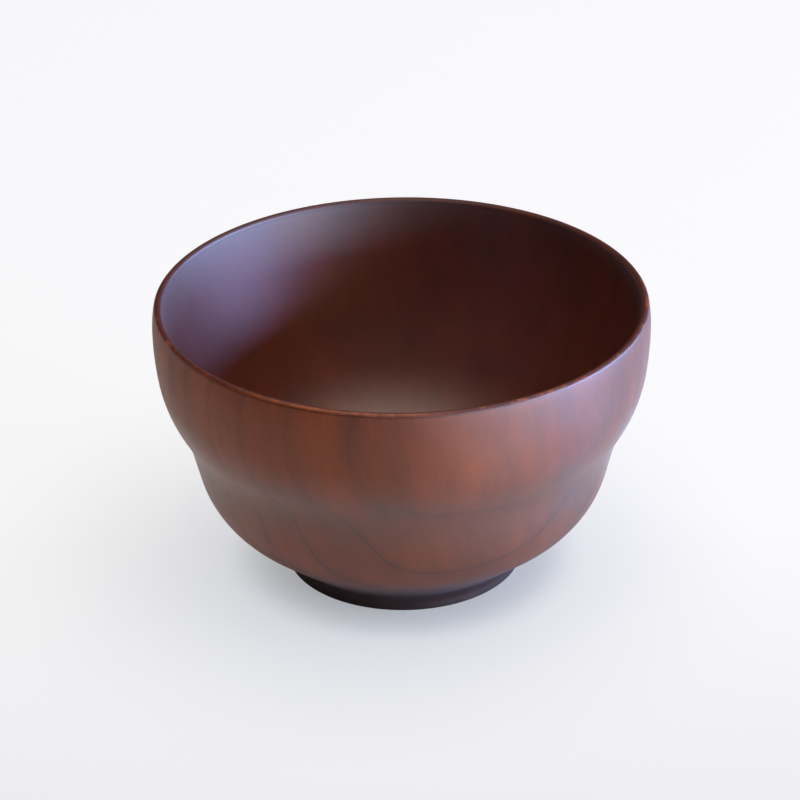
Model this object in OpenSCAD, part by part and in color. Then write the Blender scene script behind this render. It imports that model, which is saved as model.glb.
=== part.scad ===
// Turned wooden soup bowl with a waisted side, a thin round lip and a hollow foot ring.
// The whole bowl, foot ring included, is one piece of wood cut on a lathe.
// Millimetres. The origin is the middle of the foot's resting face, and +Z is up.

/* [Bowl] */
// Outside diameter at the widest point, just under the lip
bowl_d = 120; // [116:0.5:121]
// Height from the resting face to the top of the lip
bowl_h = 70; // [69.5:0.5:73]

/* [Rim and flank] */
// Thickness of the lip, which is fully rounded
lip_w = 2; // [1.6:0.1:2.6]
// Radius of the curve that draws the rim in above the widest point
rim_r = 30; // [24:1:33]
// Angle by which the rim leans in where it meets the lip
rim_lean = 10; // [6:0.5:11]
// Radius of the nearly upright flank below the widest point
flank_r = 75; // [68:1:79]
// Slope of the side, from upright, where the flank becomes the shoulder
flank_slope = 8.5; // [8:0.5:9]

/* [Shoulder and waist] */
// Radius of the shoulder, which turns the side inwards
shoulder_r = 32; // [30:0.5:33]
// Slope of the side, from upright, at the foot of the shoulder
shoulder_slope = 31; // [29:0.5:31.5]
// Radius of the hollow waist
waist_r = 28; // [25:0.5:29]
// Slope of the side, from upright, just below the waist
waist_slope = 14; // [13.5:0.5:15]
// Length of the straight stretch of side between waist and belly
waist_run = 7; // [6.5:0.25:7.5]

/* [Belly] */
// Radius of the belly
belly_r = 24; // [23:0.5:24.5]
// Slope of the side, from upright, where the belly becomes the underside
belly_slope = 51; // [50:0.5:53]
// Radius of the flatter underside, which runs in to the foot ring
under_r = 300; // [250:10:350]

/* [Foot ring] */
// Outside diameter of the foot ring
foot_d = 58; // [57:0.5:60]
// Width of the foot ring
foot_w = 4.5; // [3.75:0.25:5.25]
// Depth of the hollow inside the foot ring
hollow_h = 5; // [4.25:0.25:5.5]
// Radius of the foot ring's rounded edges
foot_edge_r = 0.6; // [0.3:0.1:0.9]
// Radius in the corner between the foot ring and the underside
foot_fillet_r = 4.5; // [3.5:0.25:5]
// Radius in the corner of the hollow
hollow_fillet_r = 1.5; // [1:0.25:2]

/* [Inside] */
// Thickness of the floor over the hollow of the foot ring
floor_t = 5; // [4:0.25:6]
// Radius of the inside wall below the lip
inside_r = 109; // [107:1:113]
// Slope of the inside wall, from upright, where it leaves the lip
inside_lean = 5; // [5:0.25:5.75]
// Slope of the inside wall, from upright, where it turns in to the floor
inside_turn = 27; // [26:0.5:29]

/* [Hidden] */

bowl_r = bowl_d / 2;
foot_r = foot_d / 2;
lip_r = lip_w / 2;
floor_z = hollow_h + floor_t;

// Steps in one turn of the bowl
$fn = 240;
// How far a drawn arc may stray from the true one
arc_error = 0.008;

// A point on a circle, at angle a
function at(centre, r, a) = centre + r * [cos(a), sin(a)];

// An arc as a list of points, with as many as keep it within arc_error
function arc(centre, r, from, to) =
    let (steps = ceil(abs(to - from) / (2 * acos(1 - arc_error / r))))
    [for (i = [0 : steps]) at(centre, r, from + (to - from) * i / steps)];

// Outside, from the lip down. Each arc starts where the one above it ends, in the same direction
widest_z = bowl_h - lip_r - (rim_r - lip_r) * sin(rim_lean);
rim_c = [bowl_r - rim_r, widest_z];
lip_c = at(rim_c, rim_r - lip_r, rim_lean);
flank_c = [bowl_r - flank_r, widest_z];
shoulder_c = at(flank_c, flank_r - shoulder_r, -flank_slope);
waist_c = at(shoulder_c, shoulder_r + waist_r, -shoulder_slope);
waist_end = at(waist_c, -waist_r, -waist_slope);
belly_start = waist_end - waist_run * [sin(waist_slope), cos(waist_slope)];
belly_c = at(belly_start, -belly_r, -waist_slope);
under_c = at(belly_c, belly_r - under_r, -belly_slope);

// The fillet touches the upright wall of the foot ring and the underside
fillet_x = foot_r + foot_fillet_r;
under_end_a = -acos((fillet_x - under_c.x) / (under_r + foot_fillet_r));
fillet_c = at(under_c, under_r + foot_fillet_r, under_end_a);

// Foot ring and its hollow
hollow_r = foot_r - foot_w;
outer_edge_c = [foot_r - foot_edge_r, foot_edge_r];
inner_edge_c = [hollow_r + foot_edge_r, foot_edge_r];
hollow_c = [hollow_r - hollow_fillet_r, hollow_h - hollow_fillet_r];

// Inside, from the lip down. The bed's arc ends level, at the height of the floor
lip_in_a = 180 - inside_lean;
inside_c = at(at(lip_c, lip_r, lip_in_a), -inside_r, -inside_lean);
inside_end = at(inside_c, inside_r, -inside_turn);
bed_r = (inside_end.y - floor_z) / (1 - sin(inside_turn));
bed_c = at(inside_end, -bed_r, -inside_turn);

// Half of the bowl's section, from the middle of the hollow round to the middle of the floor
section = concat(
    [[0, hollow_h]],
    arc(hollow_c, hollow_fillet_r, 90, 0),
    arc(inner_edge_c, foot_edge_r, 180, 270),
    arc(outer_edge_c, foot_edge_r, 270, 360),
    arc(fillet_c, foot_fillet_r, 180, 180 + under_end_a),
    arc(under_c, under_r, under_end_a, -belly_slope),
    arc(belly_c, belly_r, -belly_slope, -waist_slope),
    arc(waist_c, waist_r, 180 - waist_slope, 180 - shoulder_slope),
    arc(shoulder_c, shoulder_r, -shoulder_slope, -flank_slope),
    arc(flank_c, flank_r, -flank_slope, 0),
    arc(rim_c, rim_r, 0, rim_lean),
    arc(lip_c, lip_r, rim_lean, 90),
    arc(lip_c, lip_r, 90, lip_in_a),
    arc(inside_c, inside_r, -inside_lean, -inside_turn),
    arc(bed_c, bed_r, -inside_turn, -90),
    [[0, floor_z]]
);

// Body, lip and foot ring, turned from one block of close-grained wood
module bowl() {
    color([0.40, 0.20, 0.14]) rotate_extrude() polygon(section);
}

bowl();
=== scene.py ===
"""Turned wooden soup bowl in wiped lacquer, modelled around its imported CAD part.

The bowl is spun from one section line, like the lathe work it copies. Its wood is a solid
pattern of growth rings about a pith that lay outside the blank, so the grain runs on over the
lip and through to the inside.
"""

from math import acos, ceil, cos, pi, radians, sin, tan

import bpy
from mathutils import Matrix, Vector
from mathutils.kdtree import KDTree


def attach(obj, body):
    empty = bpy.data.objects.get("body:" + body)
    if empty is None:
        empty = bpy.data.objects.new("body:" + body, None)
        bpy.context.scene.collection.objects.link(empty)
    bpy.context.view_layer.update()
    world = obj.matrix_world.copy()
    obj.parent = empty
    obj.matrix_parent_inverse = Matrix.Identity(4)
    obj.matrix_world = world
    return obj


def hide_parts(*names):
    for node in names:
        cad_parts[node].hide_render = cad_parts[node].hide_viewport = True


bl_info = {
    "name": "Turned lacquer soup bowl",
    "version": (1, 0, 0),
    "blender": (4, 5, 0),
    "location": "View3D > Sidebar > Soup Bowl",
    "description": "Turns a wooden soup bowl with a foot ring and finishes it in wiped lacquer",
    "category": "Add Mesh",
}

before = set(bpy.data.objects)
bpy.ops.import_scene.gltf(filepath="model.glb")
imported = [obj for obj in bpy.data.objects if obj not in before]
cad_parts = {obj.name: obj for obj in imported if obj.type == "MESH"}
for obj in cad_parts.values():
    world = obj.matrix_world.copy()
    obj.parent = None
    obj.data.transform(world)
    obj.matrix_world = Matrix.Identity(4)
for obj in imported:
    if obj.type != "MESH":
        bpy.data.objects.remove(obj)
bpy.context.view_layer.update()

MM = 0.001
# Points nearer to each other than this are one point
SAME_POINT = 0.001 * MM
# The height that the lamps are aimed at
BOWL_MIDDLE = 40 * MM


def linear(hex_colour):
    """Turns a written sRGB colour, such as "#8c4a2f", into Blender's linear colour."""
    parts = [int(hex_colour[i:i + 2], 16) / 255 for i in (1, 3, 5)]
    return [p / 12.92 if p <= 0.04045 else ((p + 0.055) / 1.055) ** 2.4 for p in parts] + [1.0]


# Sizes and colours that a user may change


def length(name, description, default_mm):
    return bpy.props.FloatProperty(
        name=name, description=description, default=default_mm * MM, min=0.0, precision=5,
        subtype="DISTANCE", unit="LENGTH",
    )


def angle(name, description, default_degrees):
    return bpy.props.FloatProperty(
        name=name, description=description, default=radians(default_degrees),
        subtype="ANGLE", unit="ROTATION",
    )


def colour(name, description, hex_colour):
    return bpy.props.FloatVectorProperty(
        name=name, description=description, default=linear(hex_colour), size=4,
        min=0.0, max=1.0, subtype="COLOR",
    )


class BowlSection(bpy.types.PropertyGroup):
    """The lathe section, in the same terms as the CAD part. Slopes are measured from upright."""

    bowl_d: length("Bowl diameter", "Outside diameter at the widest point", 120.0)
    bowl_h: length("Height", "From the resting face to the top of the lip", 70.0)
    lip_w: length("Lip", "Thickness of the rounded lip", 2.0)
    rim_r: length("Rim radius", "Curve that draws the rim in above the widest point", 30.0)
    rim_lean: angle("Rim lean", "How far the rim leans in where it meets the lip", 10.0)
    flank_r: length("Flank radius", "Nearly upright flank below the widest point", 75.0)
    flank_slope: angle("Flank slope", "Slope where the flank becomes the shoulder", 8.5)
    shoulder_r: length("Shoulder radius", "Shoulder that turns the side inwards", 32.0)
    shoulder_slope: angle("Shoulder slope", "Slope at the foot of the shoulder", 31.0)
    waist_r: length("Waist radius", "Hollow waist", 28.0)
    waist_slope: angle("Waist slope", "Slope just below the waist", 14.0)
    waist_run: length("Waist run", "Straight stretch between waist and belly", 7.0)
    belly_r: length("Belly radius", "Belly", 24.0)
    belly_slope: angle("Belly slope", "Slope where the belly becomes the underside", 51.0)
    under_r: length("Underside radius", "Flatter underside that runs in to the foot ring", 300.0)
    foot_d: length("Foot diameter", "Outside diameter of the foot ring", 58.0)
    foot_w: length("Foot width", "Width of the foot ring", 4.5)
    hollow_h: length("Hollow depth", "Depth of the hollow inside the foot ring", 5.0)
    foot_edge_r: length("Foot edge radius", "Rounding on the foot ring's edges", 0.6)
    foot_fillet_r: length("Foot fillet", "Corner between the foot ring and the underside", 4.5)
    hollow_fillet_r: length("Hollow fillet", "Corner of the hollow", 1.5)
    floor_t: length("Floor", "Thickness of the floor over the hollow", 5.0)
    inside_r: length("Inside radius", "Inside wall below the lip", 109.0)
    inside_lean: angle("Inside lean", "Slope where the inside leaves the lip", 5.0)
    inside_turn: angle("Inside turn", "Slope where the inside turns in to the floor", 27.0)


class LacquerLook(bpy.types.PropertyGroup):
    """Colours of the wood under its lacquer, and the size of its growth rings."""

    early_wood: colour("Early wood", "Lighter part of each growth ring", "#863a0d")
    late_wood: colour("Late wood", "Darker line that ends each growth ring", "#4a200e")
    inside_wood: colour("Inside wood", "Wood of the inside, under more coats", "#591b05")
    # Also the colour of the painted shade on the foot ring and the underside above it
    deep_lacquer_and_shade: colour("Deep lacquer", "Where the lacquer lies thickest", "#1e0f0d")
    worn_wood: colour("Worn wood", "Lip, where use has thinned the lacquer", "#964c26")
    ring_width: length("Ring width", "Width of one growth ring", 6.5)


class StageLook(bpy.types.PropertyGroup):
    """Colours of the table."""

    floor_colour: colour("Table", "Matt white paint", "#ebebee")
    glow_colour: colour("Table glow", "Light that the table adds of its own", "#d2d4d8")


# The section, from the same named sizes as the CAD part


def at(centre, radius, turn):
    """The point of a circle at a turn, which counts up from outwards."""
    return Vector((centre[0] + radius * cos(turn), centre[1] + radius * sin(turn)))


def arc(centre, radius, start, end, error=0.004 * MM, longest=1.2 * MM):
    """Points on an arc, close enough that it strays from the true one by less than error."""
    turn = abs(end - start)
    steps = max(ceil(turn / (2 * acos(1 - error / radius))), ceil(turn * radius / longest))
    return [at(centre, radius, start + (end - start) * i / steps) for i in range(steps + 1)]


def flat_run(start, end, longest=2.5 * MM):
    """Points between the two ends of a flat, so that its faces stay small."""
    steps = max(1, ceil((end - start).length / longest))
    return [start.lerp(end, i / steps) for i in range(1, steps)]


def bowl_section(s):
    """Half of the section, from the middle of the hollow round to the middle of the floor."""
    quarter = pi / 2
    bowl_r = s.bowl_d / 2
    foot_r = s.foot_d / 2
    lip_r = s.lip_w / 2
    floor_z = s.hollow_h + s.floor_t
    widest_z = s.bowl_h - lip_r - (s.rim_r - lip_r) * sin(s.rim_lean)
    rim_c = Vector((bowl_r - s.rim_r, widest_z))
    lip_c = at(rim_c, s.rim_r - lip_r, s.rim_lean)
    flank_c = Vector((bowl_r - s.flank_r, widest_z))
    shoulder_c = at(flank_c, s.flank_r - s.shoulder_r, -s.flank_slope)
    waist_c = at(shoulder_c, s.shoulder_r + s.waist_r, -s.shoulder_slope)
    waist_end = at(waist_c, -s.waist_r, -s.waist_slope)
    belly_start = waist_end - s.waist_run * Vector((sin(s.waist_slope), cos(s.waist_slope)))
    belly_c = at(belly_start, -s.belly_r, -s.waist_slope)
    under_c = at(belly_c, s.belly_r - s.under_r, -s.belly_slope)
    fillet_reach = s.under_r + s.foot_fillet_r
    under_end = -acos((foot_r + s.foot_fillet_r - under_c.x) / fillet_reach)
    fillet_c = at(under_c, fillet_reach, under_end)
    hollow_r = foot_r - s.foot_w
    outer_edge_c = (foot_r - s.foot_edge_r, s.foot_edge_r)
    inner_edge_c = (hollow_r + s.foot_edge_r, s.foot_edge_r)
    hollow_c = (hollow_r - s.hollow_fillet_r, s.hollow_h - s.hollow_fillet_r)
    lip_in = pi - s.inside_lean
    inside_c = at(at(lip_c, lip_r, lip_in), -s.inside_r, -s.inside_lean)
    inside_end = at(inside_c, s.inside_r, -s.inside_turn)
    bed_r = (inside_end.y - floor_z) / (1 - sin(s.inside_turn))
    bed_c = at(inside_end, -bed_r, -s.inside_turn)

    line = [Vector((0.0, s.hollow_h))]
    line += flat_run(line[-1], Vector((hollow_c[0], s.hollow_h)))
    line += arc(hollow_c, s.hollow_fillet_r, quarter, 0)
    line += arc(inner_edge_c, s.foot_edge_r, pi, 3 * quarter)
    line += arc(outer_edge_c, s.foot_edge_r, -quarter, 0)
    line += arc(fillet_c, s.foot_fillet_r, pi, pi + under_end)
    line += arc(under_c, s.under_r, under_end, -s.belly_slope)
    line += arc(belly_c, s.belly_r, -s.belly_slope, -s.waist_slope)
    line += arc(waist_c, s.waist_r, pi - s.waist_slope, pi - s.shoulder_slope)
    line += arc(shoulder_c, s.shoulder_r, -s.shoulder_slope, -s.flank_slope)
    line += arc(flank_c, s.flank_r, -s.flank_slope, 0)
    line += arc(rim_c, s.rim_r, 0, s.rim_lean)
    line += arc(lip_c, lip_r, s.rim_lean, quarter)
    line += arc(lip_c, lip_r, quarter, lip_in)
    line += arc(inside_c, s.inside_r, -s.inside_lean, -s.inside_turn)
    line += arc(bed_c, bed_r, -s.inside_turn, -quarter)
    line += flat_run(line[-1], Vector((0.0, floor_z)))
    line.append(Vector((0.0, floor_z)))
    clean = [line[0]]
    for point in line[1:]:
        if (point - clean[-1]).length > SAME_POINT:
            clean.append(point)
    return clean


# Materials


def add_node(tree, kind, settings=None, **inputs):
    """Adds a node. Inputs are values, or sockets to link from, and in_1 means input number 1."""
    node = tree.nodes.new(kind)
    for key, value in (settings or {}).items():
        setattr(node, key, value)
    for key, value in inputs.items():
        place = int(key[3:]) if key.startswith("in_") else key.replace("_", " ")
        if isinstance(value, bpy.types.NodeSocket):
            tree.links.new(value, node.inputs[place])
        else:
            node.inputs[place].default_value = value
    return node


def ramp_stops(ramp, stops, start=0.0, end=1.0):
    """Sets a ramp's stops from (place, share) pairs, with places in a range from start to end."""
    elements = ramp.color_ramp.elements
    while len(elements) > 1:
        elements.remove(elements[-1])
    for i, (place, share) in enumerate(stops):
        position = (place - start) / (end - start)
        stop = elements.new(position) if i else elements[0]
        stop.position = position
        stop.color = (share, share, share, 1.0)


def late_wood_share(tree, along_pith, squeezed, height, ring_width):
    """Adds the growth rings, and gives how much of their dark late wood shows."""
    across = add_node(
        tree, "ShaderNodeVectorMath", {"operation": "MULTIPLY"}, in_0=along_pith, in_1=(1, 1, 0)
    ).outputs[0]
    radius = add_node(
        tree, "ShaderNodeVectorMath", {"operation": "LENGTH"}, in_0=across
    ).outputs["Value"]

    # Rings wander by a millimetre or so over 40 mm
    wander_run = 40 * MM
    wander_most = 1.2 * MM
    wander = add_node(
        tree, "ShaderNodeTexNoise", Vector=squeezed, Scale=1 / wander_run, Detail=1.0,
        Roughness=0.4,
    ).outputs["Fac"]
    wander_by = add_node(
        tree, "ShaderNodeMath", {"operation": "MULTIPLY_ADD"},
        in_0=wander, in_1=2 * wander_most, in_2=-wander_most,
    ).outputs[0]
    ring_radius = add_node(
        tree, "ShaderNodeMath", {"operation": "ADD"}, in_0=radius, in_1=wander_by
    ).outputs[0]

    # One ring ends this far from the pith, so that the lines lie near the photograph's
    ring_end = 134 * MM
    past_end = add_node(
        tree, "ShaderNodeMath", {"operation": "SUBTRACT"}, in_0=ring_radius, in_1=ring_end
    ).outputs[0]
    rings = add_node(
        tree, "ShaderNodeMath", {"operation": "DIVIDE"}, in_0=past_end, in_1=ring_width
    ).outputs[0]
    in_ring = add_node(tree, "ShaderNodeMath", {"operation": "FRACT"}, in_0=rings).outputs[0]

    # Each ring ends in a soft dark band. A fine line marks it on the lower half, where the
    # lathe cut the ring at a low angle, and fades out above the waist
    band = add_node(tree, "ShaderNodeValToRGB", Fac=in_ring)
    ramp_stops(band, [(0.0, 0.5), (0.12, 0.1), (0.35, 0.0), (0.7, 0.1), (0.93, 0.5), (1.0, 0.55)])
    line = add_node(tree, "ShaderNodeValToRGB", Fac=in_ring)
    ramp_stops(line, [(0.0, 0.35), (0.02, 0.0), (0.955, 0.0), (0.98, 1.0), (1.0, 0.6)])
    line_share = add_node(
        tree, "ShaderNodeMapRange", {"interpolation_type": "SMOOTHSTEP"}, Value=height,
        From_Min=36 * MM, From_Max=50 * MM, To_Min=1.5, To_Max=0.2,
    ).outputs[0]
    return add_node(
        tree, "ShaderNodeMath", {"operation": "MULTIPLY_ADD"},
        in_0=line.outputs["Color"], in_1=line_share, in_2=band.outputs["Color"],
    ).outputs[0]


def lip_wear_shares(tree, place, from_lip):
    """Adds the wear of the lip, and gives the shares of worn wood and of the dark line below it.

    Use has thinned the lacquer on the outer half of the lip, along the stretch that is drunk
    from and in a few spots elsewhere. A fine dark line of lacquer is left where the lip meets
    the side.
    """
    uneven = add_node(
        tree, "ShaderNodeTexNoise", Vector=place, Scale=1 / (5 * MM), Detail=3.0, Roughness=0.6
    ).outputs["Fac"]
    ragged_edge = 0.6 * MM
    wear_place = add_node(
        tree, "ShaderNodeMath", {"operation": "MULTIPLY_ADD"},
        in_0=uneven, in_1=ragged_edge, in_2=from_lip,
    ).outputs[0]
    # By mm from the lip's top, down its outside
    start, end = -0.7, 3.3
    on_lip = add_node(
        tree, "ShaderNodeMapRange", Value=wear_place, From_Min=start * MM, From_Max=end * MM
    ).outputs[0]
    wear = add_node(tree, "ShaderNodeValToRGB", Fac=on_lip)
    ramp_stops(wear, [(0.3, 0.0), (0.62, 0.9), (1.26, 0.9), (1.46, 0.0)], start, end)
    seam = add_node(tree, "ShaderNodeValToRGB", Fac=on_lip)
    ramp_stops(seam, [(1.42, 0.0), (1.58, 0.5), (1.74, 0.4), (1.94, 0.0)], start, end)

    # The stretch that is drunk from is a little left of the front, and its ends are soft
    level = add_node(
        tree, "ShaderNodeVectorMath", {"operation": "MULTIPLY"}, in_0=place, in_1=(1, 1, 0)
    ).outputs[0]
    outwards = add_node(
        tree, "ShaderNodeVectorMath", {"operation": "NORMALIZE"}, in_0=level
    ).outputs[0]
    left_of_front = radians(15)
    drunk_from = (-sin(left_of_front), -cos(left_of_front), 0)
    towards = add_node(
        tree, "ShaderNodeVectorMath", {"operation": "DOT_PRODUCT"}, in_0=outwards, in_1=drunk_from
    ).outputs["Value"]
    outer_reach, inner_reach = cos(radians(27)), cos(radians(15))
    stretch = add_node(
        tree, "ShaderNodeMapRange", Value=towards, From_Min=outer_reach, From_Max=inner_reach
    ).outputs[0]
    spots = add_node(
        tree, "ShaderNodeMapRange", Value=uneven, From_Min=0.53, From_Max=0.62
    ).outputs[0]
    patches = add_node(
        tree, "ShaderNodeMath", {"operation": "MAXIMUM"}, in_0=stretch, in_1=spots
    ).outputs[0]
    worn_patches = add_node(
        tree, "ShaderNodeMath", {"operation": "MULTIPLY"},
        in_0=wear.outputs["Color"], in_1=patches,
    ).outputs[0]
    flecks = add_node(
        tree, "ShaderNodeTexNoise", Vector=place, Scale=1 / (1.6 * MM), Detail=2.0, Roughness=0.6
    ).outputs["Fac"]
    fleck_share = add_node(
        tree, "ShaderNodeMapRange", Value=flecks,
        From_Min=0.4, From_Max=0.6, To_Min=0.45, To_Max=1.0,
    ).outputs[0]
    worn_share = add_node(
        tree, "ShaderNodeMath", {"operation": "MULTIPLY"}, in_0=worn_patches, in_1=fleck_share
    ).outputs[0]
    return worn_share, seam.outputs["Color"]


def wiped_lacquer_wood(look):
    """Close-grained wood, wiped with several thin coats of dark lacquer.

    The lacquer sinks in, so the growth rings show through it as soft darker bands that end in
    a fine line. It leaves a satin surface with a wide, soft highlight. Use has thinned it along
    the lip, which shows lighter.
    """
    material = bpy.data.materials.new("wiped_lacquer_wood")
    material.use_nodes = True
    tree = material.node_tree
    tree.nodes.clear()
    place = add_node(tree, "ShaderNodeTexCoord").outputs["Object"]
    height = add_node(tree, "ShaderNodeSeparateXYZ", Vector=place).outputs["Z"]
    from_lip = add_node(
        tree, "ShaderNodeAttribute", {"attribute_name": "from_lip"}
    ).outputs["Fac"]

    # The pith ran nearly upright, 80 mm from the middle of the bowl, so the rings are wide arcs.
    # Along the pith, the wood's pattern is drawn out to about three times its length
    pith = Vector((-26.0, 75.0, 40.0)) * MM
    run = Vector((-0.178, -0.054, 1.0)).normalized()
    turn = run.to_track_quat("Z", "Y").to_euler()
    along_pith = add_node(
        tree, "ShaderNodeMapping", {"vector_type": "TEXTURE"},
        Vector=place, Location=pith, Rotation=turn,
    ).outputs[0]
    squeezed = add_node(
        tree, "ShaderNodeVectorMath", {"operation": "MULTIPLY"}, in_0=along_pith, in_1=(1, 1, 0.3)
    ).outputs[0]
    late = late_wood_share(tree, along_pith, squeezed, height, look.ring_width)

    # Fibres: streaks 0.4 mm wide and 14 mm long that follow the pith. Real ones are finer, and
    # these are drawn as coarse as they need to show
    fibre_place = add_node(
        tree, "ShaderNodeVectorMath", {"operation": "MULTIPLY"}, in_0=along_pith, in_1=(1, 1, 0.03)
    ).outputs[0]
    fibres = add_node(
        tree, "ShaderNodeTexNoise", Vector=fibre_place, Scale=1 / (0.8 * MM), Detail=3.0,
        Roughness=0.55,
    ).outputs["Fac"]
    # Broad bands of deeper colour, where the wood took up more lacquer
    bands = add_node(
        tree, "ShaderNodeTexNoise", Vector=fibre_place, Scale=1 / (12 * MM), Detail=2.0,
        Roughness=0.5,
    ).outputs["Fac"]
    # Mottling, where the figure of the wood catches the lacquer unevenly
    mottle = add_node(
        tree, "ShaderNodeTexNoise", Vector=squeezed, Scale=1 / (5 * MM), Detail=4.0,
        Roughness=0.65,
    ).outputs["Fac"]

    # The inside and the lip have more coats, which darken the wood and hide most of its rings.
    # Their shine starts a little further in, and is full below the lip's rounding
    coats = add_node(
        tree, "ShaderNodeMapRange", Value=from_lip, From_Min=1.6 * MM, From_Max=0.7 * MM
    ).outputs[0]
    shine = add_node(
        tree, "ShaderNodeMapRange", Value=from_lip, From_Min=-0.5 * MM, From_Max=-2.2 * MM
    ).outputs[0]
    # Outside, wiping leaves more lacquer in the hollow of the waist and on the underside, by
    # height in mm. It is glossier there, and darker, which is painted shade
    lacquer_and_shade_top = 60
    # How far the painted shade darkens the wood, and how much gloss the settled lacquer adds
    painted_shade_depth = 0.47
    settled_gloss = 0.6
    settled_lacquer_and_shade = add_node(tree, "ShaderNodeValToRGB", Fac=add_node(
        tree, "ShaderNodeMapRange", Value=height, From_Max=lacquer_and_shade_top * MM
    ).outputs[0])
    ramp_stops(settled_lacquer_and_shade, [
        (0, 0.0), (3, 0.0), (5.4, 1.0), (11.4, 1.0), (18, 0.5),
        (27, 0.5), (36, 0.85), (43.2, 0.85), (48, 0.42), (54, 0.0),
    ], end=lacquer_and_shade_top)
    settled_coat = add_node(
        tree, "ShaderNodeMath", {"operation": "MULTIPLY"},
        in_0=settled_lacquer_and_shade.outputs["Color"], in_1=settled_gloss,
    ).outputs[0]
    gloss_coat = add_node(
        tree, "ShaderNodeMath", {"operation": "MAXIMUM"}, in_0=shine, in_1=settled_coat
    ).outputs[0]
    # Painted shade: darker wood in the waist hollow and on the underside above the foot
    painted_shade_in_hollows = add_node(
        tree, "ShaderNodeMath", {"operation": "MULTIPLY_ADD"},
        in_0=settled_lacquer_and_shade.outputs["Color"], in_1=-painted_shade_depth, in_2=1.0,
    ).outputs[0]
    # The inside, under its own coats, gets none of this painted shade
    shade = add_node(
        tree, "ShaderNodeMath", {"operation": "MAXIMUM"}, in_0=coats, in_1=painted_shade_in_hollows
    ).outputs[0]
    # Each pattern's usual range, and how dark and how light it makes the wood
    for pattern, low, high, darkest, lightest in (
        (fibres, 0.3, 0.7, 0.95, 1.05),
        (bands, 0.35, 0.65, 0.84, 1.12),
        (mottle, 0.3, 0.7, 0.82, 1.16),
    ):
        pattern_shade = add_node(
            tree, "ShaderNodeMapRange", Value=pattern,
            From_Min=low, From_Max=high, To_Min=darkest, To_Max=lightest,
        ).outputs[0]
        shade = add_node(
            tree, "ShaderNodeMath", {"operation": "MULTIPLY"}, in_0=shade, in_1=pattern_shade
        ).outputs[0]

    ring_strength = add_node(
        tree, "ShaderNodeMapRange", Value=coats, To_Min=0.42, To_Max=0.2
    ).outputs[0]
    late_share = add_node(
        tree, "ShaderNodeMath", {"operation": "MULTIPLY"}, in_0=late, in_1=ring_strength
    ).outputs[0]
    early = add_node(
        tree, "ShaderNodeMix", {"data_type": "RGBA"},
        in_0=coats, in_6=look.early_wood, in_7=look.inside_wood,
    ).outputs[2]
    wood = add_node(
        tree, "ShaderNodeMix", {"data_type": "RGBA"},
        in_0=late_share, in_6=early, in_7=look.late_wood,
    ).outputs[2]
    shaded_wood = add_node(
        tree, "ShaderNodeVectorMath", {"operation": "SCALE"}, in_0=wood, Scale=shade
    ).outputs[0]

    # Painted shade on the foot ring, in its hollow and up the underside, drawn in the deep
    # lacquer's colour and thinning out upwards, by height in mm
    foot_shade_top = 20
    foot = add_node(tree, "ShaderNodeValToRGB", Fac=add_node(
        tree, "ShaderNodeMapRange", Value=height, From_Max=foot_shade_top * MM
    ).outputs[0])
    ramp_stops(foot, [(0, 0.8), (4, 0.8), (6, 0.65), (9, 0.45), (12, 0.15), (15, 0.0)],
               end=foot_shade_top)
    # The lip's end grain has drunk in more lacquer than the side, by mm from the lip's top,
    # with the inside as minus
    lip_inside, lip_outside = -2.6, 1.4
    lip = add_node(tree, "ShaderNodeValToRGB", Fac=add_node(
        tree, "ShaderNodeMapRange", Value=from_lip,
        From_Min=lip_inside * MM, From_Max=lip_outside * MM,
    ).outputs[0])
    ramp_stops(lip, [(-2.6, 0.0), (-1.8, 0.3), (-0.2, 0.3), (0.8, 0.0)], lip_inside, lip_outside)

    # Each of these covers what is under it by its share
    worn_share, seam_share = lip_wear_shares(tree, place, from_lip)
    finish = shaded_wood
    for share, over in (
        # Painted shade on the foot ring and the underside above it
        (foot.outputs["Color"], look.deep_lacquer_and_shade),
        (lip.outputs["Color"], look.deep_lacquer_and_shade),
        (worn_share, look.worn_wood),
        (seam_share, look.deep_lacquer_and_shade),
    ):
        finish = add_node(
            tree, "ShaderNodeMix", {"data_type": "RGBA"}, in_0=share, in_6=finish, in_7=over
        ).outputs[2]

    # Satin lacquer, wiped on, so its gloss varies softly. The lip's end grain is duller
    wipes = add_node(
        tree, "ShaderNodeTexNoise", Vector=place, Scale=1 / (12 * MM), Detail=3.0, Roughness=0.6
    ).outputs["Fac"]
    satin = add_node(
        tree, "ShaderNodeMapRange", Value=wipes,
        From_Min=0.3, From_Max=0.7, To_Min=0.46, To_Max=0.54,
    ).outputs[0]
    lip_dullness = 0.35
    roughness = add_node(
        tree, "ShaderNodeMath", {"operation": "MULTIPLY_ADD"},
        in_0=lip.outputs["Color"], in_1=lip_dullness, in_2=satin,
    ).outputs[0]
    grain_relief = add_node(
        tree, "ShaderNodeBump", Height=fibres, Strength=0.25, Distance=0.02 * MM
    ).outputs["Normal"]
    shader = add_node(
        tree, "ShaderNodeBsdfPrincipled", Base_Color=finish, Roughness=roughness,
        Normal=grain_relief, IOR=1.45, Coat_Weight=gloss_coat, Coat_Roughness=0.5, Coat_IOR=1.55,
    )
    output = add_node(tree, "ShaderNodeOutputMaterial")
    tree.links.new(shader.outputs["BSDF"], output.inputs["Surface"])
    return material


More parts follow.
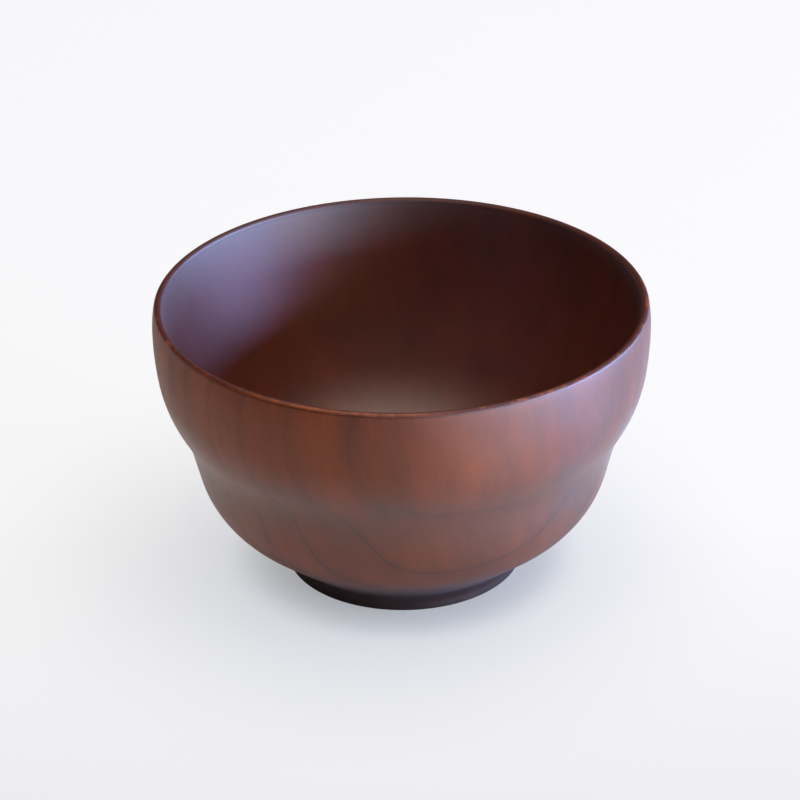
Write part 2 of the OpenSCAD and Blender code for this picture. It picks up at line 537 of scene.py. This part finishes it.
def matt_white_table(look):
    """Matt white painted board.

    The camera and the bowl's gloss see it a little brighter than it is lit, as a white that
    keeps its shadow, and close round the bowl's foot that added light is weaker, a painted
    shadow. That added light fades towards the camera, like the table in the photograph.
    """
    material = bpy.data.materials.new("matt_white_table")
    material.use_nodes = True
    tree = material.node_tree
    tree.nodes.clear()
    rays = add_node(tree, "ShaderNodeLightPath").outputs
    # To the camera, the paint gives less than half of the white, and the glow the rest
    paint_share = add_node(
        tree, "ShaderNodeMapRange", Value=rays["Is Camera Ray"], To_Min=1.0, To_Max=0.45
    ).outputs[0]
    paint = add_node(
        tree, "ShaderNodeVectorMath", {"operation": "SCALE"},
        in_0=look.floor_colour[:3], Scale=paint_share,
    ).outputs[0]
    board = add_node(tree, "ShaderNodeBsdfDiffuse", Color=paint, Roughness=0.3).outputs[0]

    place = add_node(tree, "ShaderNodeTexCoord").outputs["Object"]
    away = add_node(tree, "ShaderNodeSeparateXYZ", Vector=place).outputs["Y"]
    fade = add_node(
        tree, "ShaderNodeMapRange", Value=away,
        From_Min=-130 * MM, From_Max=20 * MM, To_Min=0.83, To_Max=1.0,
    ).outputs[0]
    # The glow is weakest round the bowl's foot, a painted shadow, and gloss sees none far off
    from_axis = add_node(
        tree, "ShaderNodeVectorMath", {"operation": "LENGTH"}, in_0=place
    ).outputs["Value"]
    camera_glow_with_painted_shadow = add_node(
        tree, "ShaderNodeMapRange", {"interpolation_type": "SMOOTHSTEP"}, Value=from_axis,
        From_Min=28 * MM, From_Max=46 * MM, To_Min=0.6, To_Max=1.0,
    ).outputs[0]
    gloss_glow_with_painted_shadow = add_node(
        tree, "ShaderNodeMapRange", {"interpolation_type": "SMOOTHSTEP"}, Value=from_axis,
        From_Min=28 * MM, From_Max=65 * MM, To_Min=0.05, To_Max=0.6,
    ).outputs[0]
    far_in_gloss = add_node(
        tree, "ShaderNodeMapRange", {"interpolation_type": "SMOOTHSTEP"}, Value=from_axis,
        From_Min=95 * MM, From_Max=170 * MM, To_Min=1.0, To_Max=0.0,
    ).outputs[0]
    seen_in_gloss = add_node(
        tree, "ShaderNodeMath", {"operation": "MULTIPLY"}, in_0=gloss_glow_with_painted_shadow, in_1=far_in_gloss
    ).outputs[0]
    camera_share = add_node(
        tree, "ShaderNodeMath", {"operation": "MULTIPLY"},
        in_0=rays["Is Camera Ray"], in_1=camera_glow_with_painted_shadow,
    ).outputs[0]
    seen = add_node(
        tree, "ShaderNodeMath", {"operation": "MULTIPLY_ADD"},
        in_0=rays["Is Glossy Ray"], in_1=seen_in_gloss, in_2=camera_share,
    ).outputs[0]
    strength = add_node(
        tree, "ShaderNodeMath", {"operation": "MULTIPLY"}, in_0=seen, in_1=fade
    ).outputs[0]
    glow = add_node(
        tree, "ShaderNodeEmission", Color=look.glow_colour, Strength=strength
    ).outputs[0]
    both = add_node(tree, "ShaderNodeAddShader", in_0=board, in_1=glow).outputs[0]
    output = add_node(tree, "ShaderNodeOutputMaterial")
    tree.links.new(both, output.inputs["Surface"])
    return material


# Pieces


def as_vector3(point):
    """A point of the section, on the plane y = 0."""
    return Vector((point.x, 0.0, point.y))


def deselect_all():
    if bpy.context.mode != "OBJECT":
        bpy.ops.object.mode_set(mode="OBJECT")
    bpy.ops.object.select_all(action="DESELECT")


def mark_distance_from_lip(bowl, section):
    """Stores how far along the section each point lies from the lip's top, outside as plus."""
    runs = [0.0]
    for here, there in zip(section, section[1:]):
        runs.append(runs[-1] + (there - here).length)
    top = runs[max(range(len(section)), key=lambda i: section[i].y)]
    tree = KDTree(len(section))
    for i, point in enumerate(section):
        tree.insert(as_vector3(point), i)
    tree.balance()
    distances = []
    for vertex in bowl.data.vertices:
        nearest = tree.find(Vector((vertex.co.xy.length, 0.0, vertex.co.z)))[1]
        distances.append(top - runs[nearest])
    attribute = bowl.data.attributes.new("from_lip", "FLOAT", "POINT")
    attribute.data.foreach_set("value", distances)


class SOUPBOWL_OT_turn_bowl(bpy.types.Operator):
    """Turns the bowl from its section line and finishes it in wiped lacquer"""

    bl_idname = "soupbowl.turn_bowl"
    bl_label = "Turn the Bowl"
    bl_options = {"REGISTER", "UNDO"}

    spin_steps = 256
    sharp_edge = radians(40)

    def execute(self, context):
        section = bowl_section(context.scene.bowl_section)
        deselect_all()
        # One vertex at the middle of the hollow, then the section line, drawn out of it
        bpy.ops.mesh.primitive_plane_add(size=1 * MM, location=as_vector3(section[0]))
        bowl = context.object
        bowl.name = bowl.data.name = "lacquered_bowl"
        bpy.ops.object.transform_apply(location=True, rotation=True, scale=True)
        bpy.ops.object.mode_set(mode="EDIT")
        bpy.ops.mesh.merge(type="CENTER")
        for here, there in zip(section, section[1:]):
            bpy.ops.mesh.extrude_region_move(
                TRANSFORM_OT_translate={"value": as_vector3(there) - as_vector3(here)}
            )
        bpy.ops.mesh.select_all(action="SELECT")
        bpy.ops.mesh.spin(
            steps=self.spin_steps, angle=2 * pi, center=(0, 0, 0), axis=(0, 0, 1)
        )
        bpy.ops.mesh.select_all(action="SELECT")
        bpy.ops.mesh.remove_doubles(threshold=SAME_POINT)
        bpy.ops.mesh.normals_make_consistent(inside=False)
        bpy.ops.object.mode_set(mode="OBJECT")
        bpy.ops.object.shade_smooth_by_angle(angle=self.sharp_edge)
        mark_distance_from_lip(bowl, section)
        bowl.data.materials.append(wiped_lacquer_wood(context.scene.lacquer_look))
        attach(bowl, "root")
        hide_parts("bowl")
        return {"FINISHED"}


# Stage


def add_lamp(name, size, place, target, radiance):
    """Adds a soft lamp, with its size and place in metres.

    Its radiance is in red, green and blue, where 1 is a white wall's.
    """
    data = bpy.data.lights.new(name, "AREA")
    data.shape = "RECTANGLE"
    data.size, data.size_y = size
    brightest = max(radiance)
    data.energy = brightest * pi * size[0] * size[1]
    data.color = [part / brightest for part in radiance]
    lamp = bpy.data.objects.new(name, data)
    bpy.context.scene.collection.objects.link(lamp)
    lamp.location = place
    facing = (Vector(target) - Vector(place)).to_track_quat("-Z", "Y")
    lamp.rotation_euler = facing.to_euler()
    lamp.visible_camera = False
    return lamp


def add_pane(name, turn, rise, radiance, distance=1.2):
    """Adds a bright pane that only gloss sees.

    It spans a range of turn, from the camera to the right, and of rise, both in degrees.
    """
    middle = radians(sum(turn) / 2)
    low, high = [BOWL_MIDDLE + distance * tan(radians(degrees)) for degrees in rise]
    width = 2 * distance * tan(radians(turn[1] - turn[0]) / 2)
    place = (distance * sin(middle), -distance * cos(middle), (low + high) / 2)
    lamp = add_lamp(name, (width, high - low), place, (0, 0, BOWL_MIDDLE), radiance)
    lamp.visible_diffuse = False


def add_glare(name, size, place, radiance):
    """Adds a patch of light that lies on the table and that only gloss sees."""
    lamp = add_lamp(name, size, (*place, 1 * MM), (*place, 1), radiance)
    lamp.visible_diffuse = False


def add_camera():
    """Sets the camera as the photograph was taken: from above the front, through a long lens.

    Its place and turns were fitted to the outlines of the bowl, in metres and radians.
    """
    distance = 0.868026
    height_angle = 0.5284380
    pitch, yaw, roll = 0.0433391, 0.00072240, 0.0130214
    focal_in_widths = 3475.16 / 800
    data = bpy.data.cameras.new("camera")
    data.sensor_width = 36.0
    data.lens = focal_in_widths * data.sensor_width
    data.clip_start, data.clip_end = 0.05, 50.0
    camera = bpy.data.objects.new("camera", data)
    bpy.context.scene.collection.objects.link(camera)
    back = Vector((0.0, -cos(height_angle), sin(height_angle)))
    place = distance * back
    right = Vector((1.0, 0.0, 0.0))
    up = right.cross(-back)
    back, up = (Matrix.Rotation(pitch, 3, right) @ v for v in (back, up))
    back, right = (Matrix.Rotation(yaw, 3, up) @ v for v in (back, right))
    right, up = (Matrix.Rotation(roll, 3, -back) @ v for v in (right, up))
    turn = Matrix((right, up, back)).transposed().to_4x4()
    camera.matrix_world = Matrix.Translation(place) @ turn
    bpy.context.scene.camera = camera


class SOUPBOWL_OT_set_stage(bpy.types.Operator):
    """Sets the table, the room's light, the window and the camera"""

    bl_idname = "soupbowl.set_stage"
    bl_label = "Set the Stage"
    bl_options = {"REGISTER", "UNDO"}

    table_size = 6.0
    table_gap = 0.02 * MM
    room_light = 0.02

    def execute(self, context):
        scene = context.scene
        deselect_all()
        # A hair below the foot, so that the two faces don't share a plane
        bpy.ops.mesh.primitive_grid_add(
            x_subdivisions=8, y_subdivisions=8, size=self.table_size,
            location=(0, 0, -self.table_gap),
        )
        table = context.object
        table.name = table.data.name = "table"
        bpy.ops.object.transform_apply(location=True, rotation=True, scale=True)
        table.data.materials.append(matt_white_table(scene.stage_look))

        # Plain, even room light, and a ceiling lamp and a window that light the bowl
        world = bpy.data.worlds.new("room_light")
        scene.world = world
        world.use_nodes = True
        background = world.node_tree.nodes["Background"]
        background.inputs["Color"].default_value = (1.0, 1.0, 1.0, 1.0)
        background.inputs["Strength"].default_value = self.room_light
        add_lamp("ceiling", (1.6, 1.6), (0.2, 0, 1.5), (0.2, 0, 0), (3.0, 2.7, 2.3))
        window = add_lamp(
            "window", (1.5, 0.37), (1.16, -0.31, 0.225), (0, 0, BOWL_MIDDLE), (3.9, 6.1, 9.6)
        )
        window.visible_glossy = False

        # What the gloss shows: the window's panes, the wall opposite, and the glare that the
        # window lays on the table. They add no light to the wood's own colour
        add_pane("pane_low_left", (28, 66), (0, 9), (27, 33, 41))
        add_pane("pane_low_right", (66, 122), (0, 9), (22, 34, 62))
        add_pane("pane_high_left", (28, 66), (9, 18), (5, 2, 1))
        add_pane("pane_high_right", (66, 102), (9, 18), (29, 31, 64))
        add_pane("wall_left", (215, 265), (-1, 5), (3.0, 3.3, 4.0))
        add_glare("glare_far", (0.5, 0.2), (0.37, -0.1), (2.0, 4.8, 9.5))
        add_glare("glare_near", (0.3, 0.1), (0.22, -0.06), (0.3, 0.8, 1.5))
        add_glare("glare_side", (0.12, 0.12), (0.13, 0.08), (0.3, 0.8, 1.5))
        add_glare("glare_front", (0.12, 0.12), (0.11, -0.15), (6.5, 4.8, 4.4))

        scene.view_settings.view_transform = "Standard"
        add_camera()
        return {"FINISHED"}


class SOUPBOWL_PT_panel(bpy.types.Panel):
    """Lists the steps that make the bowl and its stage"""

    bl_idname = "SOUPBOWL_PT_panel"
    bl_label = "Soup Bowl"
    bl_space_type = "VIEW_3D"
    bl_region_type = "UI"
    bl_category = "Soup Bowl"

    def draw(self, context):
        layout = self.layout
        layout.operator(SOUPBOWL_OT_turn_bowl.bl_idname)
        layout.operator(SOUPBOWL_OT_set_stage.bl_idname)
        scene = context.scene
        for group in (scene.bowl_section, scene.lacquer_look, scene.stage_look):
            box = layout.box()
            for name in group.__annotations__:
                box.prop(group, name)


CLASSES = (
    BowlSection,
    LacquerLook,
    StageLook,
    SOUPBOWL_OT_turn_bowl,
    SOUPBOWL_OT_set_stage,
    SOUPBOWL_PT_panel,
)


def register():
    for cls in CLASSES:
        bpy.utils.register_class(cls)
    bpy.types.Scene.bowl_section = bpy.props.PointerProperty(type=BowlSection)
    bpy.types.Scene.lacquer_look = bpy.props.PointerProperty(type=LacquerLook)
    bpy.types.Scene.stage_look = bpy.props.PointerProperty(type=StageLook)


def unregister():
    del bpy.types.Scene.stage_look
    del bpy.types.Scene.lacquer_look
    del bpy.types.Scene.bowl_section
    for cls in reversed(CLASSES):
        bpy.utils.unregister_class(cls)


def main():
    register()
    bpy.ops.soupbowl.turn_bowl()
    bpy.ops.soupbowl.set_stage()


if __name__ == "__main__":
    main()
